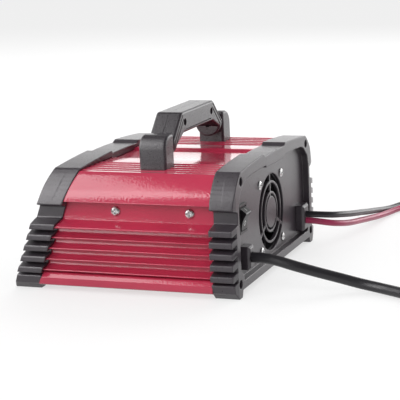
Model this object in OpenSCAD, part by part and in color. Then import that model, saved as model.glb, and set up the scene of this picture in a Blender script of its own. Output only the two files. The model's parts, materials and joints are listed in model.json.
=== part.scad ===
// Portable battery charger: a ribbed red metal cabinet of two extrusions between two moulded
// end caps, a folding carry handle, a cooling fan, a rocker switch and the leads at the back.
// +X points to the rear face, -Y to the side with the mains lead and +Z up. Millimetres.

/* [Cabinet] */
// Length along the floor, from the toe of the front cap to the rear face
body_l = 175.4; // [165:0.1:240]
// Width over the tips of the cap ridges
body_w = 194.8; // [190:0.1:240]
// Height of the crown of the caps above the floor
cap_h = 92; // [90:0.5:110]
// Angle that the front cap leans back from upright, in degrees
front_lean = 20.35; // [12:0.05:24]

/* [End caps] */
// Depth of the rear cap along the cabinet
rear_cap_l = 18; // [16:0.5:30]
// Depth of the front cap along the cabinet
front_cap_l = 20.7; // [18:0.1:30]
// Height of the feet under the cap rails
foot_h = 5; // [3:0.5:6]
// Thickness of the cap rail under the cabinet floor
rail_t = 1.5; // [1:0.1:2.5]
// Height of the top edge of the highest ridge
ridge_top = 50.2; // [49:0.1:54]
// Distance from one cap ridge to the next
ridge_pitch = 8.1; // [7.6:0.1:8.2]
// Thickness of a cap ridge at its tip
ridge_t = 4.5; // [3.8:0.1:5]
// How far a ridge stands out from the valley
ridge_depth = 7.9; // [6:0.1:8.4]
// How much a ridge drops from its root to its tip
ridge_droop = 2; // [1:0.1:2.4]
// Distance from the ridge tips in to the upright band of the cap
band_inset = 11.4; // [11:0.1:11.7]
// Distance from the ridge tips in to the crest of the cap
crest_inset = 19.4; // [17:0.1:20.5]
// Height that the crown rises over the crest
crown_rise = 4; // [2:0.1:5]
// Width of the lower flat along the middle of the crown
middle_w = 51; // [40:0.5:56]
// How much lower the middle flat lies
middle_drop = 2.1; // [1:0.1:2.4]
// Thickness of the end panels
panel_t = 2.5; // [2:0.1:3.2]
// Depth of the recess in the rear face
rear_recess = 5; // [4:0.1:6]
// Depth of the recess in the front face
front_recess = 4; // [3:0.1:5]

/* [Red shells] */
// Wall of the two extrusions
shell_wall = 2.4; // [1.8:0.1:2.6]
// Gap between an extrusion and the cap that it enters
fit_gap = 0.2; // [0.1:0.05:0.3]
// How far the extrusions enter the caps
shell_entry = 8.5; // [6:0.1:9.5]
// Distance from the cap ridge tips in to the fin tips
fin_inset = 1.4; // [1.2:0.1:2]
// How far a fin stands out from the shell wall
fin_depth = 8.2; // [6:0.1:8.6]
// Thickness of a fin at its tip
fin_t = 1; // [0.8:0.1:1.4]
// Height of the parting groove between the two shells
part_gap = 1.2; // [0.8:0.1:1.6]
// Distance from the cap band in to the shell band
band_step = 1.5; // [1.3:0.1:2.2]
// Number of fine ribs along each side of the top
top_ribs = 5; // [3:1:7]
// Height of the fine ribs
top_rib_h = 0.5; // [0.3:0.1:0.8]

/* [Fan and switch] */
// Side of the square fan frame
fan_size = 60; // [58:0.5:62]
// Depth of the fan frame
fan_depth = 25; // [20:0.5:26]
// Distance from the side of the fan frame in to its screws
fan_screw_inset = 5; // [4.5:0.1:6]
// Sideways place of the fan centre
fan_y = 1.5; // [-4:0.5:6]
// Height of the fan centre
fan_z = 42.9; // [42.5:0.1:46]
// Number of fan blades
fan_blades = 7; // [5:1:9]
// Width of the switch bezel
switch_w = 15; // [14:0.5:18]
// Height of the switch bezel
switch_h = 20.8; // [18:0.1:24]
// Distance from the ridge tips in to the switch centre
switch_inset = 30.7; // [29:0.1:36]
// Height of the switch centre
switch_z = 53; // [50:0.1:58]
// Travel of the rocker, in degrees
rocker_travel = 14; // [8:1:16]

/* [Cord glands] */
// Width of the mains gland
mains_gland_w = 10.4; // [9.6:0.1:12]
// Height of the mains gland
mains_gland_h = 16.7; // [12:0.1:18]
// Width of the output gland
output_gland_w = 13.8; // [9:0.1:15]
// Height of the output gland
output_gland_h = 20.4; // [15:0.1:22]
// Distance from the ridge tips in to the mains gland
mains_gland_inset = 32.6; // [30:0.1:36]
// Distance from the ridge tips in to the output gland
output_gland_inset = 29.7; // [28:0.1:34]
// Height of the mains gland's centre
mains_gland_z = 24.8; // [22:0.1:28]
// Height of the output gland's centre
output_gland_z = 24.3; // [22:0.1:28]
// How far the glands stand out of the recessed panel
gland_proud = 7; // [5:0.1:10]

/* [Handle] */
// Place of the handle along the cabinet
handle_x = 17.4; // [0:0.1:26]
// Width of the grip along the cabinet
grip_w = 20.4; // [17:0.1:24]
// Distance from the ridge tips in to the outside of the grip's legs
grip_inset = 46.4; // [45:0.1:52]
// Height of the grip's top above the cabinet top
grip_rise = 35.8; // [30:0.1:44]
// Height of the handle pivot above the cabinet top
pivot_rise = 15.6; // [15:0.1:20]
// Radius of the handle pins
pin_r = 3; // [2:0.1:4]
// Width of a handle post along the cabinet
post_w = 20.8; // [16:0.1:26]
// Thickness of a handle post
post_t = 16.4; // [12:0.1:18]
// Height of a handle post
post_h = 23.8; // [22:0.1:28]
// How far the handle folds to either side, in degrees
fold_angle = 85; // [60:1:88]

/* [Control panel] */
// Width of the display window
window_w = 50; // [30:1:60]
// Height of the display window
window_h = 20; // [12:1:24]
// Radius of the push buttons
button_r = 5; // [3:0.1:6]
// Distance between neighbouring buttons
button_pitch = 28; // [18:1:32]
// Travel of the push buttons
button_travel = 0.6; // [0.3:0.1:0.7]

/* [Inside] */
// Length of the main circuit board
board_l = 110; // [100:1:112]
// Width of the main circuit board
board_w = 146; // [142:1:150]
// Thickness of the circuit boards
board_t = 1.6; // [1:0.1:2]
// Height of the stand-offs under the main board
standoff_h = 6; // [4:0.5:8]
// Length of the cooling bars behind the side bands
bar_l = 96; // [80:1:100]
// Thickness of the cooling bars
bar_t = 7; // [5:0.1:8]

/* [Cords] */
// Diameter of the mains cord
mains_d = 7.5; // [6:0.1:7.6]
// Diameter of the output leads
lead_d = 5; // [4:0.1:5.2]

/* [Hidden] */
$fn = 48;

red = "#b52f4f";
black = "#3b373b";
nickel = "#c9c9cc";
copper = "#b8703a";
board_green = "#2f6b45";
alloy = "#a9abb0";

// Places along the cabinet
rocker_proud = 1.4;
rear_x = (body_l - rocker_proud) / 2;
toe_x = rear_x - body_l;
lean_k = tan(front_lean);
rear_in_x = rear_x - rear_cap_l;
shell_rear_x = rear_in_x + shell_entry;
panel_x = rear_x - rear_recess;
panel_in_x = panel_x - panel_t;
front_in_c = toe_x + front_cap_l;
shell_front_c = front_in_c - shell_entry;
front_panel_c = toe_x + front_recess;
end_bevel = 1.2;

// Places across the cabinet, measured in from the ridge tips
tip_y = body_w / 2;
valley_y = tip_y - ridge_depth;
cap_band_y = tip_y - band_inset;
crest_y = tip_y - crest_inset;
shoulder_y = tip_y - 2.9;
foot_top_y = tip_y - 1.9;
foot_out_y = tip_y - 8.9;
foot_in_y = tip_y - 15.1;
fin_y = tip_y - fin_inset;
shell_valley_y = fin_y - fin_depth;
shell_band_y = cap_band_y - band_step;
strip_y = tip_y - 4.4;
shell_crest_y = crest_y + 0.5;
shell_in_y = shell_band_y - shell_wall;
switch_y = switch_inset - tip_y;
grip_half = tip_y - grip_inset;
fan_pitch = fan_size - 2 * fan_screw_inset;
// Larger than the cabinet in every direction, for cutting
far = 200;

// Heights
foot_top = 11;
knee_z = 5.3;
ridge_n = 5;
band_foot_z = ridge_top + 2.6;
shoulder_z = 64;
band_top_z = shoulder_z - 2.5;
crest_z = cap_h - crown_rise;
shell_floor_z = foot_h + rail_t + fit_gap;
floor_in_z = shell_floor_z + shell_wall;
skirt_z = foot_h - 1;
strip_top = 10;
facet_top = 14.5;
fin_sink = 1.6;
ledge_z = ridge_top - 1.8;
ledge_t = 1.2;
ledge_root_z = band_foot_z - 1.2;
upper_foot_z = ledge_z - ledge_t;
lower_top_z = upper_foot_z - part_gap;
overhang_z = shoulder_z + 2.3;
top_z = crest_z - 1.8;
top_step = 2;
rib_top_z = top_z + top_rib_h;
ridge_z = [for (i = [0 : ridge_n - 1]) ridge_top - ridge_pitch * i];

// Corner screws, drilled along the cabinet
screw_r = 2;
thread_gap = 0.05;
head_r = 3;
corner_top = [tip_y - 19.94, cap_h - 10.57];
corner_low = [tip_y - 12.54, 10.02];
corners = [corner_top, corner_low, [-corner_top[0], corner_top[1]], [-corner_low[0], corner_low[1]]];
head_seat = 6.5;

// Points of an arc between two points that bulges to the right of the way from a to b
function arc_between(a, b, bulge, n = 8) =
    let (d = b - a, c = norm(d), r = (c * c / 4 + bulge * bulge) / (2 * bulge),
        m = (a + b) / 2, out = [d[1], -d[0]] / c, o = m - out * (r - bulge),
        w = asin(c / 2 / r), base = atan2(out[1], out[0]))
    [for (i = [0 : n]) let (t = base - w + 2 * w * i / n) o + r * [cos(t), sin(t)]];

// Closed outline with its sharp corners rounded by arcs of radius r
function unit(v) = v / norm(v);
function turned(v, a) = [v[0] * cos(a) - v[1] * sin(a), v[0] * sin(a) + v[1] * cos(a)];
function rounded(p, r) = [for (i = [0 : len(p) - 1])
    let (n = len(p), c = p[i], back = c - p[(i + n - 1) % n], on = p[(i + 1) % n] - c,
        u = unit(back), v = unit(on), turn = atan2(u[0] * v[1] - u[1] * v[0], u * v))
    each abs(turn) < 20 ? [c]
        : let (t = min(r * tan(abs(turn) / 2), 0.45 * norm(back), 0.45 * norm(on)),
            side = sign(turn), o = c - u * t + side * t / tan(abs(turn) / 2) * [-u[1], u[0]],
            m = max(2, ceil(abs(turn) / 24)))
        [for (k = [0 : m]) o + turned(c - u * t - o, turn * k / m)]];

function mirrored(p) = [for (i = [len(p) - 1 : -1 : 0]) [-p[i][0], p[i][1]]];
module whole(half) { polygon(concat(half, mirrored(half))); }

module along_x(x0, x1) {
    translate([x0, 0, 0]) rotate([90, 0, 90]) linear_extrude(x1 - x0) children();
}
module along_y(y0, y1) {
    translate([0, y1, 0]) rotate([90, 0, 0]) linear_extrude(y1 - y0) children();
}
module rod_x(r, x0, x1, y, z) { translate([x0, y, z]) rotate([0, 90, 0]) cylinder(r = r, h = x1 - x0); }
module rod_y(r, y0, y1, x, z) { translate([x, y0, z]) rotate([-90, 0, 0]) cylinder(r = r, h = y1 - y0); }
module rod_z(r, z0, z1, x, y) { translate([x, y, z0]) cylinder(r = r, h = z1 - z0); }
module block(lo, hi) { translate(lo) cube(hi - lo); }

// Upright slice of space between two planes that lean back with the front cap
module leaning(c0, c1) {
    low = -10;
    along_y(-far, far) polygon([[c0 + lean_k * low, low], [c1 + lean_k * low, low],
        [c1 + lean_k * far, far], [c0 + lean_k * far, far]]);
}
// Frame of the front face: -x points out of the face and z runs up its slope
module on_front() { translate([toe_x, 0, 0]) rotate([0, front_lean, 0]) children(); }

// Outline of the end caps
function crown(y) = cap_h - crown_rise * pow(y / crest_y, 2);
function cap_half() = concat(
    [[foot_in_y - 1.8, foot_h], [foot_in_y, 0], [foot_out_y, 0], [tip_y - 3.4, knee_z],
        [foot_top_y, foot_top], [valley_y, foot_top + 1.6]],
    [for (i = [ridge_n - 1 : -1 : 0]) each [
        [valley_y, ridge_z[i] - ridge_t + ridge_droop], [tip_y, ridge_z[i] - ridge_t],
        [tip_y, ridge_z[i]],
        [i == 0 ? cap_band_y : valley_y, i == 0 ? band_foot_z : ridge_z[i] + ridge_droop]]],
    [[cap_band_y, band_top_z]],
    arc_between([shoulder_y, shoulder_z], [crest_y + 1, crest_z - 1], 2.5),
    [for (i = [0 : 4]) let (y = crest_y - 1 - (crest_y - 1 - middle_w / 2) * i / 4) [y, crown(y)]],
    [[middle_w / 2 - 3, crown(middle_w / 2) - middle_drop], [8, cap_h - middle_drop]]);
edge_round = 0.8;
module cap_outline() { polygon(rounded(concat(cap_half(), mirrored(cap_half())), edge_round)); }

// Outlines of the two extrusions
function fin(i) = let (z = ridge_z[i] - fin_sink) concat(
    [[shell_valley_y, z - fin_t - 0.3], [fin_y, z - fin_t], [fin_y, z]],
    [for (t = [0.2 : 0.2 : 1]) [fin_y - fin_depth * (1 - pow(1 - t, 1.6)), z + 3 * pow(t, 2)]]);
lower_half = concat(
    [[strip_y - 2.5, shell_floor_z], [strip_y - 2.5, skirt_z], [strip_y - 1.2, skirt_z],
        [strip_y, skirt_z + 1.2], [strip_y, strip_top], [shell_valley_y + 0.3, facet_top]],
    [for (i = [ridge_n - 1 : -1 : 1]) each fin(i)],
    [[shell_valley_y, lower_top_z]]);
function shoulder() = arc_between([strip_y, overhang_z], [shell_crest_y, top_z], 2.3);
rib_out = crest_y - 3;
rib_in = rib_out - 33;
rib_pitch = (rib_out - rib_in) / (top_ribs - 0.5);
function ribs() = [for (i = [0 : top_ribs - 1]) let (y = rib_out - rib_pitch * i) each [
    [y, top_z], [y - 0.6, rib_top_z], [y - rib_pitch / 2 + 0.6, rib_top_z], [y - rib_pitch / 2, top_z]]];
step_y = middle_w / 2 - 3;
upper_half = concat(
    [[fin_y, upper_foot_z], [fin_y, ledge_z], [shell_band_y, ledge_root_z], [shell_band_y, overhang_z]],
    shoulder(), ribs(), [[step_y, top_z], [step_y - 1.5, top_z - top_step]]);
upper_in_half = concat(
    [[shell_in_y, upper_foot_z - 1], [shell_in_y, overhang_z + shell_wall]],
    arc_between([strip_y - 3.4, overhang_z + shell_wall], [shell_crest_y - 1.1, top_z - shell_wall], 1.8),
    [[step_y - shell_wall / 2, top_z - shell_wall],
        [step_y - 1.5 - shell_wall / 2, top_z - top_step - shell_wall]]);

port_r = 3.7;
tongue_t = 2.4;
tongue_h = 4;
module port(p) { translate(p) circle(r = port_r); }
module port_hole(p) { translate(p) circle(r = screw_r + thread_gap); }
module in_shell_length() {
    intersection() {
        leaning(shell_front_c, 2 * far);
        block([shell_rear_x - 2 * far, -far, -far / 2], [shell_rear_x, far, far]);
        children();
    }
}
module shell_section() {
    whole(lower_half);
    whole(upper_half);
    translate([-shell_valley_y, lower_top_z - 1]) square([shell_valley_y * 2, part_gap + 2]);
}
module shell_space() { offset(delta = fit_gap) shell_section(); }
module inner_space() {
    half = shell_in_y - 4;
    translate([-half, floor_in_z]) square([half * 2, top_z - top_step - shell_wall - floor_in_z]);
}

module lower_shell() {
    y_in = shell_valley_y - shell_wall;
    tongue_y = shell_in_y - fit_gap;
    color(red) in_shell_length() along_x(toe_x - 20, shell_rear_x) difference() {
        union() {
            difference() {
                whole(lower_half);
                translate([-y_in, floor_in_z]) square([y_in * 2, cap_h]);
            }
            for (s = [-1, 1]) {
                intersection() {
                    port([s * corner_low[0], corner_low[1]]);
                    whole(lower_half);
                }
                translate([s > 0 ? tongue_y - tongue_t : -y_in - 0.1, lower_top_z - shell_wall])
                    square([y_in + 0.1 - tongue_y + tongue_t, shell_wall]);
                translate([s > 0 ? tongue_y - tongue_t : -tongue_y, lower_top_z - shell_wall])
                    square([tongue_t, shell_wall + part_gap + tongue_h]);
            }
        }
        for (s = [-1, 1]) port_hole([s * corner_low[0], corner_low[1]]);
    }
}

bar_z = 59.1;
bar_h = 11;
band_screw_x = [-5.8, 51];
module upper_shell() {
    color(red) difference() {
        in_shell_length() along_x(toe_x - 20, shell_rear_x) difference() {
            union() {
                difference() {
                    whole(upper_half);
                    whole(upper_in_half);
                }
                for (s = [-1, 1]) port([s * corner_top[0], corner_top[1]]);
            }
            for (s = [-1, 1]) port_hole([s * corner_top[0], corner_top[1]]);
        }
        for (x = band_screw_x) rod_y(screw_r + 0.2, -tip_y, tip_y, x, bar_z);
        for (s = [-1, 1], x = post_screw_x) rod_z(screw_r + 0.2, top_z - 20, top_z + 20, x, s * post_y);
    }
}

// Corner holes through the rear cap, with the sunk heads
module cap_screw_holes(x_head, x_in) {
    for (p = corners) {
        rod_x(screw_r + 0.2, x_in, x_head, p[0], p[1]);
        rod_x(head_r + 0.25, x_head, x_head + far, p[0], p[1]);
    }
}

grille_r = 29;
ring_r = 22.6;
ring_in_r = 14.5;
hub_r = 11.9;
ring_w = 1.8;
spoke_w = 2.2;
module fan_grille() {
    translate([panel_in_x, fan_y, fan_z]) rotate([0, 90, 0]) {
        for (r = [ring_r, ring_in_r]) difference() {
            cylinder(r = r + ring_w / 2, h = panel_t);
            translate([0, 0, -1]) cylinder(r = r - ring_w / 2, h = panel_t + 2);
        }
        cylinder(r = hub_r, h = panel_t);
        for (a = [60, 180, 300]) rotate(a)
            translate([hub_r - 1, -spoke_w / 2, 0.3]) cube([grille_r - hub_r + 1.5, spoke_w, panel_t - 0.6]);
    }
}
recess_y = tip_y - 14.4;
recess_top = cap_h - 9.3;
recess_foot = 11;
corner_boss_r = 8.5;
rear_recess_half = [[recess_y, recess_foot], [recess_y, recess_top - 19],
    [recess_y - 2, recess_top - 11], [corner_top[0] - 5, recess_top - 4],
    [corner_top[0] - 12, recess_top - 1.5], [50, recess_top - 0.4], [22, recess_top],
    [21, recess_top - 2]];
module rear_recess_outline() {
    difference() {
        polygon(rounded(concat(rear_recess_half, mirrored(rear_recess_half)), 3));
        for (s = [-1, 1]) translate([s * corner_low[0], corner_low[1]]) circle(r = corner_boss_r);
    }
}
neck_gap = 0.2;
gland_rim = 0.8;
bezel_rim = 1;
mains_gland_at = [mains_gland_inset - tip_y, mains_gland_z];
output_gland_at = [tip_y - output_gland_inset, output_gland_z];
// Hole in the rear panel for a neck that is smaller than its flange by rim all round
module neck_hole(w, h, rim, at) {
    y = w / 2 - rim + neck_gap;
    z = h / 2 - rim + neck_gap;
    translate([0, at[0], at[1]]) block([panel_in_x - 1, -y, -z], [panel_x + 1, y, z]);
}
module rear_cap() {
    color(black) difference() {
        union() {
            difference() {
                along_x(rear_in_x, rear_x) cap_outline();
                along_x(rear_in_x - 1, shell_rear_x + fit_gap) shell_space();
                along_x(rear_in_x - 1, panel_in_x) inner_space();
                along_x(panel_x, rear_x + 1) rear_recess_outline();
                rod_x(grille_r, panel_in_x - 1, panel_x + 1, fan_y, fan_z);
            }
            fan_grille();
        }
        cap_screw_holes(rear_x - head_seat, shell_rear_x - 1);
        for (p = fan_screw_at) rod_x(fan_screw_r + 0.2, panel_in_x - 1, panel_x + 1, p[0], p[1]);
        neck_hole(switch_w, switch_h, bezel_rim, [switch_y, switch_z]);
        neck_hole(mains_gland_w, mains_gland_h, gland_rim, mains_gland_at);
        neck_hole(output_gland_w, output_gland_h, gland_rim, output_gland_at);
        // Bevels on the rear ends of the ridges and along the crown
        for (s = [-1, 1]) linear_extrude(cap_h) polygon([[rear_x - end_bevel, s * (tip_y + 0.1)],
            [rear_x + 0.1, s * (valley_y - 1)], [rear_x + 5, s * valley_y], [rear_x + 5, s * (tip_y + 5)]]);
    }
}

// Front cap, with a sloping recessed control panel
function front_seat(p) = toe_x + lean_k * p[1] + head_seat;
panel_low = 18;
panel_high = 84;
panel_half = 76;
front_wall = panel_t + 0.1;
deck = front_recess * cos(front_lean);
button_z = 36;
window_z = 66;
light_z = 49;
boss_r = 3.2;
boss_h = 6;
control_y = 50;
control_z = [30, 80];
// Screws of the control board
control_screw_at = [for (s = [-1, 1], z = [control_z[0] + 4, control_z[1] - 4]) [s * (control_y - 4), z]];
module front_cap() {
    color(black) difference() {
        union() {
            difference() {
                intersection() {
                    along_x(toe_x - 5, 0) cap_outline();
                    leaning(toe_x, front_in_c);
                }
                intersection() {
                    along_x(toe_x - 5, 0) shell_space();
                    leaning(shell_front_c - fit_gap, 0);
                }
                intersection() {
                    along_x(toe_x - 5, 0) inner_space();
                    leaning(front_panel_c + front_wall, 0);
                }
                on_front() block([-5, -panel_half, panel_low], [deck, panel_half, panel_high]);
            }
            for (p = control_screw_at)
                on_front() rod_x(boss_r, deck + 1, deck + panel_t + boss_h, p[0], p[1]);
        }
        for (p = corners) {
            rod_x(screw_r + 0.2, front_seat(p) - 1, front_seat(p) + front_cap_l + 10, p[0], p[1]);
            rod_x(head_r + 0.25, front_seat(p) - far, front_seat(p), p[0], p[1]);
        }
        on_front() {
            for (k = [-1, 0, 1])
                rod_x(button_r + 0.3, deck - 1, deck + panel_t + 3, k * button_pitch, button_z);
            translate([0, 0, window_z]) block([deck - 1, -window_w / 2 - 0.2, -window_h / 2 - 0.2],
                [deck + panel_t + 1, window_w / 2 + 0.2, window_h / 2 + 0.2]);
            for (k = light_at) rod_x(light_r + 0.1, deck - 1, deck + panel_t + 1, k, light_z);
            for (p = control_screw_at)
                rod_x(1.3, deck + panel_t + 0.5, deck + panel_t + boss_h + 1, p[0], p[1]);
        }
        for (s = [-1, 1]) on_front() linear_extrude(far) polygon([[end_bevel, s * (tip_y + 0.1)],
            [-0.1, s * (valley_y - 1)], [-5, s * valley_y], [-5, s * (tip_y + 5)]]);
    }
}

// Pan-head screw along +x, its head from x = 0 outwards and its shank inwards, with a cross recess
module pan_screw(r, head, proud, shank) {
    difference() {
        rotate([0, 90, 0]) rotate_extrude() polygon([[0, -shank], [r, -shank], [r, 0], [head, 0],
            [head, proud * 0.45], [head * 0.88, proud * 0.75], [head * 0.62, proud], [0, proud]]);
        for (a = [0, 90]) rotate([a, 0, 0]) translate([proud * 0.45, -head * 0.55, -head * 0.12])
            cube([proud, head * 1.1, head * 0.24]);
    }
}
cap_shank = 15;
module rear_cap_screws() {
    color(nickel) for (p = corners)
        translate([rear_x - head_seat, p[0], p[1]]) pan_screw(screw_r, head_r, 2.2, cap_shank);
}
module front_cap_screws() {
    color(nickel) for (p = corners)
        translate([front_seat(p), p[0], p[1]])
            mirror([1, 0, 0]) pan_screw(screw_r, head_r, 2.2, cap_shank + 2);
}
band_head_r = 3.5;
module band_screws() {
    color(nickel) for (s = [-1, 1], x = band_screw_x) translate([x, s * shell_band_y, bar_z])
        rotate([0, 0, s * 90]) pan_screw(screw_r, band_head_r, 2, shell_wall + 5.5);
}

// Cooling bars behind the bands, tapped for the band screws
bar_x = band_screw_x[1] - bar_l + 12;
module cooling_bar(s) {
    color(alloy) difference() {
        scale([1, s, 1]) translate([bar_x, shell_in_y - bar_t, bar_z - bar_h / 2]) cube([bar_l, bar_t, bar_h]);
        for (x = band_screw_x) rod_y(screw_r + thread_gap, -tip_y, tip_y, x, bar_z);
    }
}
device = [15.6, 4.8, 20];
device_pitch = 26;
device_legs = 12;
leg_pitch = 5.4;
module power_devices() {
    y = shell_in_y - bar_t;
    color("#2c2c30") for (s = [-1, 1], k = [0 : 2]) scale([1, s, 1])
        translate([bar_x + bar_l / 2 + device_pitch * (k - 1), y, bar_z - device[2] / 2 - 3]) {
            block([-device[0] / 2, -device[1], 0], [device[0] / 2, 0, device[2]]);
            for (j = [-1 : 1])
                translate([leg_pitch * j, -2.6, -device_legs]) block([-0.6, -0.3, 0], [0.6, 0.3, device_legs]);
        }
}

// Fan, screwed to the inside of the rear panel
fan_screw_r = 2;
fan_screw_at = [for (a = [-1, 1], b = [-1, 1]) [fan_y + a * fan_pitch / 2, fan_z + b * fan_pitch / 2]];
fan_x1 = panel_in_x;
fan_x0 = fan_x1 - fan_depth;
fan_bore_r = fan_size / 2 - 1.4;
rotor_hub_r = 13;
rotor_clear = 0.8;
shaft_r = 1.5;
module at_fan() { translate([fan_x0, fan_y, fan_z]) rotate([0, 90, 0]) children(); }
module fan_frame() {
    half = fan_size / 2;
    flange_t = 4;
    color("#2a282c") at_fan() difference() {
        union() {
            difference() {
                translate([-half, -half, 0]) cube([fan_size, fan_size, fan_depth]);
                translate([0, 0, -1]) cylinder(r = fan_bore_r, h = fan_depth + 2);
                for (a = [0 : 90 : 270]) rotate(a)
                    translate([half * 0.62, half * 0.62, flange_t]) cube([half, half, fan_depth - 2 * flange_t]);
            }
            cylinder(r = rotor_hub_r - 1, h = 3);
            for (a = [45 : 90 : 315]) rotate(a)
                translate([rotor_hub_r - 3, -1.5, 0]) cube([fan_bore_r - rotor_hub_r + 4, 3, 2.5]);
            cylinder(r = 3.6, h = fan_depth - 6);
        }
        translate([0, 0, -1]) cylinder(r = shaft_r + 0.05, h = fan_depth + 2);
        for (a = [-1, 1], b = [-1, 1]) translate([a * fan_pitch / 2, b * fan_pitch / 2, -1])
            cylinder(r = fan_screw_r + thread_gap, h = fan_depth + 2);
    }
}
module fan_rotor() {
    top = fan_depth - 1.2;
    low = 4;
    r_out = fan_bore_r - rotor_clear;
    camber_r = 20;
    pitch = 38;
    color("#1f1e22") at_fan() {
        difference() {
            translate([0, 0, low]) cylinder(r = rotor_hub_r, h = top - low);
            translate([0, 0, low - 1]) cylinder(r = rotor_hub_r - 1.4, h = top - low - 0.8);
        }
        translate([0, 0, 0.4]) cylinder(r = shaft_r, h = top - 0.6);
        intersection() {
            difference() {
                translate([0, 0, low + 0.6]) cylinder(r = r_out, h = top - low - 1.2);
                cylinder(r = rotor_hub_r - 0.2, h = fan_depth);
            }
            for (k = [0 : fan_blades - 1]) rotate(k * 360 / fan_blades) translate([0, 0, (top + low) / 2])
                rotate([0, 90, 0]) rotate(pitch) intersection() {
                    translate([0, camber_r - 2, 0]) difference() {
                        cylinder(r = camber_r, h = r_out + 2);
                        translate([0, 0, -1]) cylinder(r = camber_r - 1.2, h = r_out + 4);
                    }
                    translate([-11, -4, 0]) cube([22, 8, r_out + 2]);
                }
        }
    }
}
module fan_screws() {
    color(nickel) for (p = fan_screw_at)
        translate([panel_x, p[0], p[1]]) pan_screw(fan_screw_r, 3.4, 1.3, panel_t + 6);
}

// Rocker switch
bezel_t = 2.2;
rocker_w = switch_w - 4;
rocker_h = switch_h - 4;
rocker_x = panel_x + 0.4;
rocker_gap = 0.3;
rocker_pin_r = 1.2;
rocker_pin_l = 0.6;
module switch_body() {
    neck = [switch_w / 2 - bezel_rim, switch_h / 2 - bezel_rim];
    well = [rocker_w / 2 + rocker_gap, rocker_h / 2 + rocker_gap];
    pin_hole = rocker_w / 2 + rocker_pin_l + 0.1;
    back_x = panel_x - 16;
    color("#2b282c") translate([0, switch_y, switch_z]) {
        difference() {
            union() {
                block([panel_x, -switch_w / 2, -switch_h / 2], [panel_x + bezel_t, switch_w / 2, switch_h / 2]);
                block([back_x, -neck[0], -neck[1]], [panel_x, neck[0], neck[1]]);
            }
            block([panel_x - 7.5, -well[0], -well[1]], [panel_x + bezel_t + 1, well[0], well[1]]);
            rod_y(rocker_pin_r + 0.05, -pin_hole, pin_hole, rocker_x, 0);
        }
        for (z = [-6, 0, 6]) block([back_x - 8, -3, z - 0.4], [back_x, 3, z + 0.4]);
    }
}
module switch_rocker() {
    top = rocker_h / 2;
    reach = rear_x + rocker_proud - rocker_x;
    pin = rocker_w / 2 + rocker_pin_l;
    color("#262327") translate([rocker_x, switch_y, switch_z]) {
        along_y(-rocker_w / 2, rocker_w / 2) polygon(concat(
            [[-2.6, -top + 0.9], [1.6, -top + 0.1]],
            arc_between([2.2, -top + 0.6], [reach, 4], -1.1, 6),
            [[reach - 0.3, 4.8], [1.6, top - 0.4], [-0.4, top - 0.4], [-4.2, 2.4], [-4.2, -2.4]]));
        rod_y(rocker_pin_r, -pin, pin, 0, 0);
    }
}

// Split strain-relief glands in the rear panel
gland_bevel = 1.6;
module gland_block(w, h) {
    x1 = panel_x + gland_proud;
    intersection() {
        translate([0, 0, -h / 2]) linear_extrude(h) polygon([[panel_x, -w / 2], [x1 - gland_bevel, -w / 2],
            [x1, -w / 2 + gland_bevel], [x1, w / 2 - gland_bevel], [x1 - gland_bevel, w / 2], [panel_x, w / 2]]);
        along_y(-w / 2, w / 2) polygon([[panel_x, -h / 2], [x1 - gland_bevel, -h / 2],
            [x1, -h / 2 + gland_bevel], [x1, h / 2 - gland_bevel], [x1 - gland_bevel, h / 2], [panel_x, h / 2]]);
    }
    block([panel_in_x - 8, gland_rim - w / 2, gland_rim - h / 2], [panel_x, w / 2 - gland_rim, h / 2 - gland_rim]);
}
cord_room = 0.15;
module mains_gland() {
    color(black) translate([0, mains_gland_at[0], mains_gland_at[1]]) difference() {
        gland_block(mains_gland_w, mains_gland_h);
        rod_x(mains_d / 2 + cord_room, panel_in_x - 10, panel_x + gland_proud + 1, 0, 0);
    }
}
lead_z = [2.6, -2.6];
module output_gland() {
    color(black) translate([0, output_gland_at[0], output_gland_at[1]]) difference() {
        gland_block(output_gland_w, output_gland_h);
        for (z = lead_z) rod_x(lead_d / 2 + cord_room / 2, panel_in_x - 10, panel_x + gland_proud + 1, 0, z);
    }
}

// Folding handle
post_in_y = grip_half + 0.6;
post_y = post_in_y + post_t / 2;
post_screw_x = [handle_x - 5.5, handle_x + 5.5];
pivot_z = rib_top_z + pivot_rise;
grip_top = rib_top_z + grip_rise;
leg_t = 7;
leg_r = 9.3;
pin_gap = 0.05;
pin_seat = 8.8;
module post(s) {
    r = 10;
    color(black) difference() {
        intersection() {
            along_x(handle_x - post_w / 2, handle_x + post_w / 2) scale([s, 1]) union() {
                translate([post_in_y, rib_top_z]) square([post_t, post_h - r]);
                translate([post_in_y, rib_top_z]) square([post_t - r, post_h]);
                translate([post_in_y + post_t - r, rib_top_z + post_h - r]) circle(r = r);
            }
            translate([0, s * post_y, 0]) linear_extrude(far) offset(r = 1.5, $fn = 24) offset(delta = -1.5)
                translate([handle_x - post_w / 2, -post_t / 2]) square([post_w, post_t]);
        }
        scale([1, s, 1])
            rod_y(pin_r + pin_gap, post_in_y - 0.1, post_in_y + pin_seat + 0.3, handle_x, pivot_z);
        for (x = post_screw_x) rod_z(screw_r + thread_gap, rib_top_z - 1, rib_top_z + 9, x, s * post_y);
    }
}
module post_screws() {
    color(nickel) for (s = [-1, 1], x = post_screw_x)
        translate([x, s * post_y, top_z - shell_wall]) rotate([0, 90, 0]) pan_screw(screw_r, 3.4, 2, 10);
}
module grip_outline() {
    r = 1.8;
    offset(r = r, $fn = 32) offset(delta = -r)
        whole([[grip_half - 20.9, grip_top - 15.5], [grip_half - leg_t, pivot_z - leg_r + 1.3],
            [grip_half - leg_t, pivot_z - leg_r], [grip_half, pivot_z - leg_r],
            [grip_half, grip_top - 18], [grip_half - 18.6, grip_top]]);
}
grip_screw_at = [grip_half - 23.6, grip_top - 7.8];
grip_screw_seat = 4;
groove = 0.9;
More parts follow.
